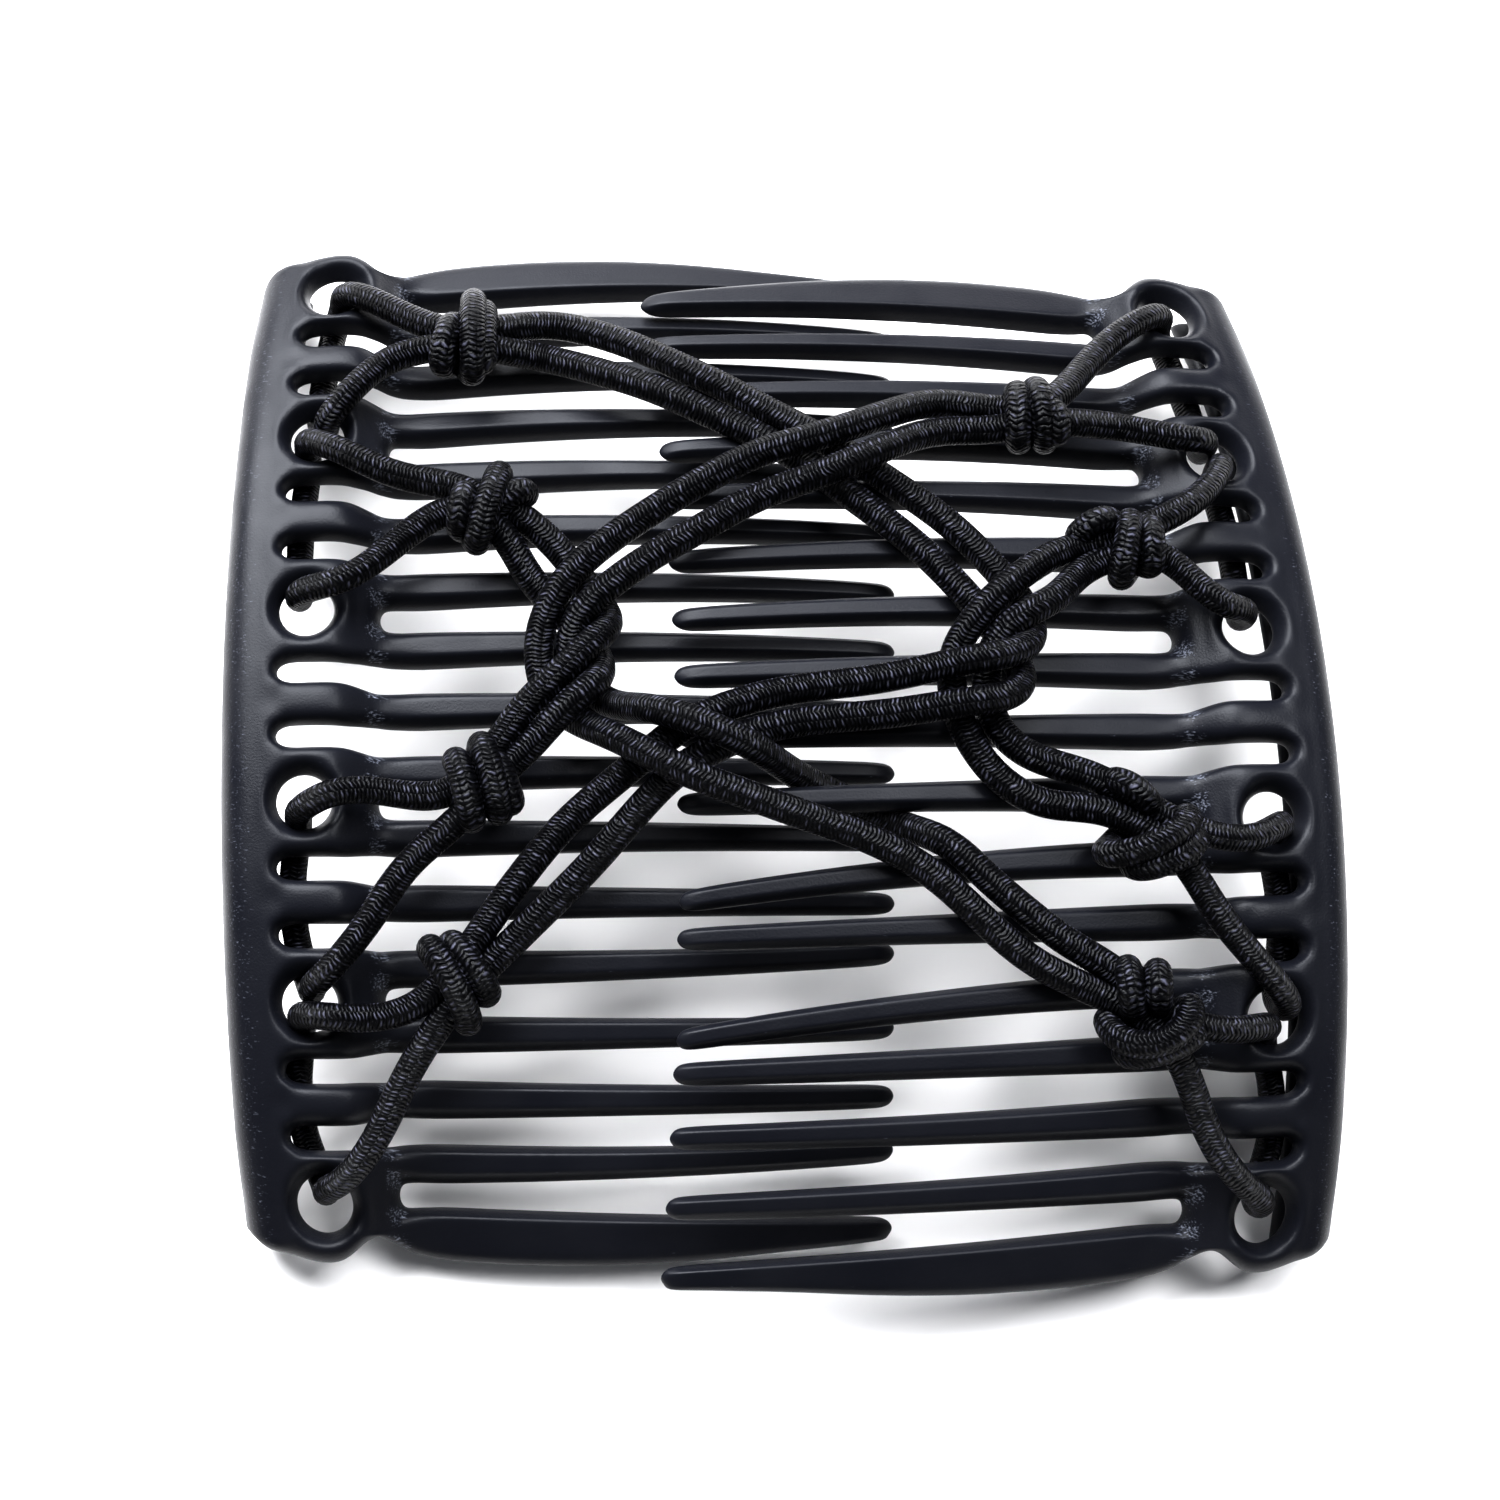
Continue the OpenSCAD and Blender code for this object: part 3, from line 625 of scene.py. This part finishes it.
# Wraps of each knot, seen from above in its own axes: start x y, end x y, bow, lift
wraps = {
    "a1": [(0.9, 4.1, 1.1, -3.6, 0, 0.3), (-0.7, 1.1, -1.8, -2.9, 0, -0.3), (1.9, 3.2, 2.0, -3.0, 0, -0.7)],
    "a2": [(1.0, 3.8, -1.8, -2.9, 0, 0.3), (2.5, 2.6, 1.1, -2.6, 0, 0)],
    "b1": [(3.0, -1.8, -0.3, -2.1, 0, 0), (-1.9, -1.8, 0.6, 2.8, 0, 0.2), (-3.3, -0.8, -2.2, 2.8, 0, -0.4)],
    "b2": [(4.2, -1.3, 0.6, -1.0, 0, 0), (1.9, 4.5, -2.7, -1.9, -1.4, 0.3),
           (-0.7, 4.3, -4.1, -0.8, -1.2, -0.5)],
    "c1": [(-0.4, 3.5, 1.1, -3.1, 0, 0.3), (-2.1, 0.2, -1.1, -2.6, 0, -0.5), (0.9, 0.4, 2.5, 3.1, 0, -0.6)],
    "c2": [(-0.4, 2.8, -3.4, -1.7, 0, 0), (2.1, 2.1, -1.3, -3.0, 0, 0.3), (1.8, 0, -0.1, -3.3, 0, -0.9)],
    "d1": [(0.4, -2.2, 1.2, 2.3, 0, 0), (-1.2, -2.3, -1.2, 2.4, 0, 0.2), (-2.3, 0.3, -2.3, 2.6, 0, -0.6)],
    "d2": [(3.8, -1.9, 1.2, 0.8, 0, 0.3), (1.6, -3.2, -0.2, -0.9, 0, 0.1),
           (2.6, 2.8, -2.4, -2.5, -2.7, 0.2), (-0.2, 4.1, -3.9, -0.9, -0.8, -0.5)],
}


# Half a turn from start to end, over the knot or under it; bow pushes its middle sideways
def halfTurn(start, end, height, bow, count):
    middle, reach = (start + end) / 2, (end - start) / 2
    sideways = Vector((-reach.y, reach.x, 0)).normalized() * bow
    points = []
    for n in range(count):
        a = math.pi * n / count
        points.append(middle - reach * math.cos(a) + (sideways + Vector((0, 0, height))) * math.sin(a))
    return points


def makeKnot(name, s):
    hoops = wraps[name]
    tuck, low = s["tuck"]
    points = [Vector((hoops[0][0] * tuck, hoops[0][1] * tuck, low))]
    for hoop, following in zip(hoops, hoops[1:] + [None]):
        x0, y0, x1, y1, bow, lift = hoop
        end = Vector((x1, y1, 0))
        points += halfTurn(Vector((x0, y0, 0)), end, s["crest"] + lift, bow, s["points"])
        if following:
            points += halfTurn(end, Vector((following[0], following[1], 0)), -s["depth"], 0, s["points"])
    points += [end, Vector((end.x * tuck, end.y * tuck, low))]
    line = smoothLine([inKnot(name, *p) for p in points], cordSettings["spacing"])
    line = settleLine(line, [1.0] * len(line), s["passes"])
    radii = [s["cord"] / 2] * len(line)
    return rollTube("knot" + name.upper(), line, radii, braid, cordSettings["sides"])


for loop in "abcd":
    piece, line = makeLoop(loop, cordSettings)
    knotPieces = [makeKnot(loop + n, knotSettings) for n in "12"]
    for knotPiece, n in zip(knotPieces, "12"):
        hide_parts(f"knot_{loop}_{n}")
    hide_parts(*(f"cord_{loop}_{kind}_{n}" for kind in ("strand", "end") for n in "12"))
    print("cord", loop, round(lengthOf(line)), "mm")


# Combs: one sheet of quads for the whole skin, holes left open, then given its under side

# Profile of the outer wall: skin x and height, inner x and height
wallRows = [(4.7, -5.35, 4.6, -4.4), (3.3, -5.95, 3.2, -4.05), (1.3, -5.95, 2.35, -4.05),
            (0.2, -5.1, 2.2, -3.6), (0.0, -3.9, 2.2, -3.2), (0.0, -2.5, 2.2, -2.75),
            (0.38, -1.15, 2.4, -2.4), (1.19, -0.25, 2.6, -2.15)]
webRows = [2.3, 3.3, 3.9, 4.6, 5.95, 7.3, 8.65, 10.0, 10.7, 11.4, 12.1, 13.0, 13.6]
tineRows = [15.0, 20.0, 26.0, 32.0, 38.0, 44.0, 50.0, 55.0]
firstWeb = len(wallRows)
holeRow = firstWeb + 5       # the row through the middle of the holes
rootRow = firstWeb + len(webRows) - 1
rowCount = rootRow + len(tineRows) + 3
columnCount = 6 * cs["tines"] - 1
facetShare = 0.62            # width of the flat top of a tine, as a share of its foot

# Where the ends of the web lie, from the middle of the comb, at each distance from the spine's edge;
# then half of the width of an end tine, on its outer side
endTable = [(0, 44.4), (0.4, 45.0), (1.2, 45.8), (2.3, 46.3), (4.0, 46.7), (6.8, 47.6), (8.65, 47.3),
            (10.0, 46.2), (10.7, 45.6), (11.4, 45.25), (12.1, 45.3), (13.0, 45.8), (15.0, 46.6)]
endTineTable = [(13, 1.85), (15, 2.1), (20, 2.6), (28, 2.82), (36, 2.72), (44, 2.12), (52, 1.3), (60, 0.75)]

# Rings of vertices round a hole, the inner one 2 columns from its middle and the outer one 3:
# angles from the nearest side, distance outside the hole's edge, and height over the web
ringAngles = {2: {0: 0, 1: 22.5, 2: 45}, 3: {0: 0, 1: 16, 2: 32, 3: 45}}
ringGap = {2: 0.05, 3: 0.85}
ringHeight = {2: -cs["flare"], 3: cs["rim"]}


edgeSettings = {
    "sag": 0.52,            # how much lower the wall's foot lies near the ends of the comb
    "sagAt": 46,
    "turnFrom": 36,         # the side of the web starts to follow the end table here
    "turnOver": 8,          # and follows it fully this much further out
    "thicker": 0.4,         # added to the web where the tines leave it
    "rimShare": 0.6,        # where the bead along the end lies, from the last gap to the edge
    "rim": 0.1,
    "fall": 0.6,            # how far the edge itself is rounded down
}

tipSettings = {
    "from": 2.2,            # where the rounding of a tip starts, in half widths from its end
    "angle": 80,            # degrees of the round that the last row covers
    "narrow": 0.8,          # width of that row, as a share
    "drop": 0.45,           # how far it falls, as a share of the thickness
    "under": 0.7,           # and how far down its under side is
    "endTop": 0.85,         # width of the flat top on the outer side of an end tine, as a share
    "endDrop": 0.45,        # how far the side falls there
}

# How much the parts of a comb are rubbed by hair and hands
wornShares = {"root": 1.0, "wallTop": 0.78, "tineTop": 0.72, "tine": 0.45, "web": 0.65}
creases = {"foot": 0.4, "top": 0.45}


# Gaps 1, 4, 7 and so on have a round hole, the others a slot
def hasEye(k):
    return (k - 1) % 3 == 0


# Plan place and height over the web of a vertex beside gap k, a columns from its middle
def webPoint(row, k, a, x):
    b = row - holeRow
    middle = sideY(k + 0.5, x)
    pitch = sideY(k, x) - sideY(k + 1, x)
    away = abs(a)
    dist = pitch * away / 6
    lift = 0.0
    if hasEye(k) and max(away, abs(b)) in ringAngles:
        ring = max(away, abs(b))
        radius = cs["eyeRadius"] + ringGap[ring]
        minor = ringAngles[ring][min(away, abs(b))]
        angle = math.radians(minor if away >= abs(b) else 90 - minor)
        x = cs["eyeAt"] + math.copysign(radius * math.sin(angle), b) if b else cs["eyeAt"]
        dist = radius * math.cos(angle)
        lift = ringHeight[ring]
        middle = sideY(k + 0.5, cs["eyeAt"])
    elif hasEye(k):
        # the web between a hole and the gap after it, whose corner is round
        if row >= holeRow + 4:
            f = min(1, (x - 11.4) / 2.2)
            dist = (0, 1.15 + 0.25 * f, 2.1, pitch / 2)[away]
        if row == rootRow and away <= 1:
            x = cs["root"] + (0.42 if away else 0.0)
            dist = 1.05 * away
            lift = -cs["facet"]
    elif b >= -1:
        # walls of a slot, which widens to the gap
        f = min(1, max(0, (x - 11.0) / (cs["root"] - 11.0)))
        wallDist = cs["slotHalf"] + (pitch / 2 - cs["tineWidth"] / 2 - cs["slotHalf"]) * f
        dist = (0, wallDist, cs["slotHalf"] + 0.55 + 0.5 * f, pitch / 2)[away]
        lift = (0, -cs["flare"] - 0.1 * f, 0.1 * (1 - f), 0.2 * (1 - f))[away]
    elif b == -2:
        # closed end of a slot
        x = (cs["slotAt"], cs["slotAt"] + 0.3, cs["slotAt"] + 0.75, x)[away]
        dist = (0, 0.68, 1.45, pitch / 2)[away]
        lift = (-cs["flare"], -cs["flare"], cs["rim"], 0)[away]
    elif b == -3:
        # bead past that end
        x = (cs["slotAt"] - 0.6, cs["slotAt"] - 0.35, cs["slotAt"] + 0.15, x)[away]
        dist = (0, 0.8, 1.3, pitch / 2)[away]
        lift = (cs["rim"], cs["rim"], cs["rim"], 0)[away]
    return x, middle + math.copysign(dist, a), lift


def wallVertex(place, row, i, j):
    x, height, innerX, innerHeight = wallRows[row]
    v = i + (j - 2) / 6
    y = sideY(v, 0)
    scale = lookUp(x if row > 4 else 0.0, endTable) / sideY(2 / 3, 0)
    turned = min(1, max(0, (abs(y) - edgeSettings["turnFrom"]) / edgeSettings["turnOver"]))
    y *= 1 - (1 - scale) * turned
    back = setBack(v, cs["spineBow"])
    if row < 4:
        height -= edgeSettings["sag"] * (y / edgeSettings["sagAt"]) ** 2
    return archedPoint(place, x + back, y, height), archedPoint(place, innerX + back, y, innerHeight)


def webVertex(place, row, i, j):
    x = webRows[row - firstWeb]
    if j == 5:
        k, a = i, 0
    elif j > 2:
        k, a = i, 5 - j
    elif j < 2:
        k, a = i - 1, -1 - j
    elif i == cs["tines"] or hasEye(i - 1):
        k, a = i - 1, -3
    else:
        k, a = i, 3
    if k < 1 or k >= cs["tines"]:
        edge = lookUp(x, endTable) * (1 if k < 1 else -1)
        inner = webPoint(row, i if k < 1 else i - 1, 3 if k < 1 else -3, x)[1]
        atEdge = j in (0, 4)
        y = inner + (edge - inner) * (1.0 if atEdge else edgeSettings["rimShare"])
        lift = -edgeSettings["fall"] if atEdge else edgeSettings["rim"]
    else:
        x, y, lift = webPoint(row, k, a, x)
    v = middleTine - math.degrees(math.asin(y / (cs["archRadius"] + topHeight(x)))) / cs["tineStep"]
    back = setBack(v, cs["spineBow"])
    depth = cs["wall"] + edgeSettings["thicker"] * (row >= rootRow - 1)
    underX, underY = x, y * (1 - cs["draft"] * depth / cs["archRadius"])
    if 1 <= k < cs["tines"] and hasEye(k) and max(abs(a), abs(row - holeRow)) == 2:
        underX = cs["eyeAt"] + (x - cs["eyeAt"]) * cs["taper"]
        underY += (sideY(k + 0.5, cs["eyeAt"]) - y) * (1 - cs["taper"])
    skin = archedPoint(place, x + back, y, topHeight(x) + lift)
    return skin, archedPoint(place, underX + back, underY, topHeight(x) - depth)


def tineVertex(place, stray, row, i, j):
    n = row - rootRow - 1
    atTip = n == len(tineRows) + 1
    tipX = cs["length"] + cs["lengthStep"] * (middleTine - i) + setBack(i, cs["tipBow"])
    outer = (i == 1 and j < 2) or (i == cs["tines"] and j > 2)
    share = tipSettings["endTop"] if outer else facetShare
    offset = (-1, -share, 0, share, 1, 0)[j]
    if n < len(tineRows):
        x = tineRows[n] + setBack(i, cs["spineBow"]) * max(0, 1 - (tineRows[n] - 15) / 20)
        half = lookUp(x, endTineTable) if outer else tineHalf(x)
        shift = offset * half
    else:
        half = tineHalf(tipX)
        angle = math.radians(tipSettings["angle"] * offset)
        x = tipX - half + half * math.cos(angle) if atTip else tipX - tipSettings["from"] * half
        shift = half * math.sin(angle) * tipSettings["narrow"] if atTip else offset * half
    if abs(offset) == 1:
        shift += math.copysign(cs["edgeGrow"], offset)
    along = (x - cs["root"]) / (cs["length"] - cs["root"])
    y = sideY(i, x) + stray[i - 1] * along ** 2 - shift
    thick = cs["tineThick"] + (cs["tineThin"] - cs["tineThick"]) * along
    fall = tipSettings["endDrop"] if outer else cs["facet"]
    drop = fall * thick / cs["tineThick"] if abs(offset) == 1 else 0
    under = thick + cs["belly"] - cs["bellyDraft"] * (abs(offset) == 1)
    if atTip:
        drop, under = thick * tipSettings["drop"], thick * tipSettings["under"]
    underY = y * (1 - cs["draft"] * under / cs["archRadius"])
    skin = archedPoint(place, x, y, topHeight(x) - drop)
    return skin, archedPoint(place, x, underY, topHeight(x) - under)


# Skin point and under point of one vertex of the grid
def combVertex(place, stray, row, column):
    i, j = column // 6 + 1, column % 6
    if row < firstWeb:
        return wallVertex(place, row, i, j)
    if row <= rootRow:
        return webVertex(place, row, i, j)
    return tineVertex(place, stray, row, i, j)


# Most rubbed where the tines leave the web, then along the upper edge of the wall
def wornShare(row, column):
    j = column % 6
    if rootRow - 1 <= row <= rootRow and j in (0, 1, 3, 4):
        return wornShares["root"]
    if row > rootRow:
        return wornShares["tineTop"] if j in (1, 3) else wornShares["tine"]
    if firstWeb - 2 <= row <= firstWeb:
        return wornShares["wallTop"]
    return wornShares["web"]


# Whether the quad after this row and column is in a hole, slot or gap
def faceIsOpen(row, column):
    k, j = column // 6 + 1, column % 6
    if row >= rootRow:
        return j in (4, 5)
    if not hasEye(k if j > 2 else k - 1):
        return row >= holeRow - 2 and j in (4, 5)
    if holeRow - 2 <= row < holeRow + 2:
        return j in (3, 4, 5) and hasEye(k) or j == 0 and hasEye(k - 1) and k > 1
    return False


def makeComb(name, node, place, stray):
    bm = bmesh.new()
    rowLayer = bm.verts.layers.int.new("row")
    columnLayer = bm.verts.layers.int.new("column")
    worn = bm.verts.layers.float.new("worn")
    crease = bm.edges.layers.float.new("crease_edge")
    bmesh.ops.create_grid(bm, x_segments=columnCount - 1, y_segments=rowCount - 1, size=0.5)
    for v in bm.verts:
        v[rowLayer] = round((v.co.y + 0.5) * (rowCount - 1))
        v[columnLayer] = round((v.co.x + 0.5) * (columnCount - 1))
    opened = []
    for face in bm.faces:
        row = min(v[rowLayer] for v in face.verts)
        column = min(v[columnLayer] for v in face.verts)
        if faceIsOpen(row, column):
            opened.append(face)
    bmesh.ops.delete(bm, geom=opened, context="FACES")
    made = bmesh.ops.extrude_face_region(bm, geom=bm.faces[:])
    under = {v for v in made["geom"] if isinstance(v, bmesh.types.BMVert)}
    for v in bm.verts:
        skin, below = combVertex(place, stray, v[rowLayer], v[columnLayer])
        v.co = (below if v in under else skin) * mm
        v[worn] = 0.0 if v in under else wornShare(v[rowLayer], v[columnLayer])
    for e in bm.edges:
        a, b = e.verts
        sameSide = (a in under) == (b in under)
        if sameSide and a[columnLayer] == b[columnLayer] and min(a[rowLayer], b[rowLayer]) > rootRow:
            j = a[columnLayer] % 6
            if j in (0, 4):
                e[crease] = creases["foot"]
            elif j in (1, 3) and a not in under:
                e[crease] = creases["top"]
    bmesh.ops.recalc_face_normals(bm, faces=bm.faces)
    piece = finishMesh(bm, name, plastic)
    smooth = piece.modifiers.new("smooth", "SUBSURF")
    smooth.levels = smooth.render_levels = 2
    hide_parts(node)


makeComb("combLower", "comb_lower", lowerPlace, lowerStray)
makeComb("combUpper", "comb_upper", upperPlace, upperStray)
print("combs made")


# Floor and light

stageSettings = {
    "floor": "#f5f2ee",
    "roughness": 0.9,
    "size": 3.0,      # half of its side, in metres
    "gap": 0.2 * mm,  # below the lowest point of the combs
}


def makeFloor(s):
    material, tree, shader = newMaterial("paleBoard")
    shader.inputs["Base Color"].default_value = linearColour(s["floor"])
    shader.inputs["Roughness"].default_value = s["roughness"]
    bm = bmesh.new()
    bmesh.ops.create_grid(bm, x_segments=1, y_segments=1, size=s["size"])
    floor = linkMesh(bm, "floor", material)
    floor.location.z = -s["gap"]


lights = {
    "softbox": {"at": (-0.23, 0.45, 0.49), "size": 0.64, "power": 41.0, "colour": "#f6f9ff"},
    "fill": {"at": (0.38, 0.20, 0.90), "size": 0.40, "power": 13.0, "colour": "#f6f9ff"},
}


roomSettings = {
    "colour": "#eff4ff",
    "strength": 0.26,
    "gamma": 0.82,  # deepens the blacks, as in the photograph
}


def makeLight(name, s):
    data = bpy.data.lights.new(name, "AREA")
    data.size = s["size"]
    data.energy = s["power"]
    data.color = linearColour(s["colour"])[:3]
    light = bpy.data.objects.new(name, data)
    light.location = s["at"]
    light.rotation_euler = (-Vector(s["at"])).to_track_quat("-Z", "Y").to_euler()
    bpy.context.scene.collection.objects.link(light)


makeFloor(stageSettings)
for name, s in lights.items():
    makeLight(name, s)
world = bpy.data.worlds.new("studio")
world.use_nodes = True
sky = world.node_tree.nodes["Background"]
sky.inputs["Color"].default_value = linearColour(roomSettings["colour"])
sky.inputs["Strength"].default_value = roomSettings["strength"]
bpy.context.scene.world = world
bpy.context.scene.view_settings.view_transform = "Standard"
bpy.context.scene.view_settings.gamma = roomSettings["gamma"]
print("stage made")
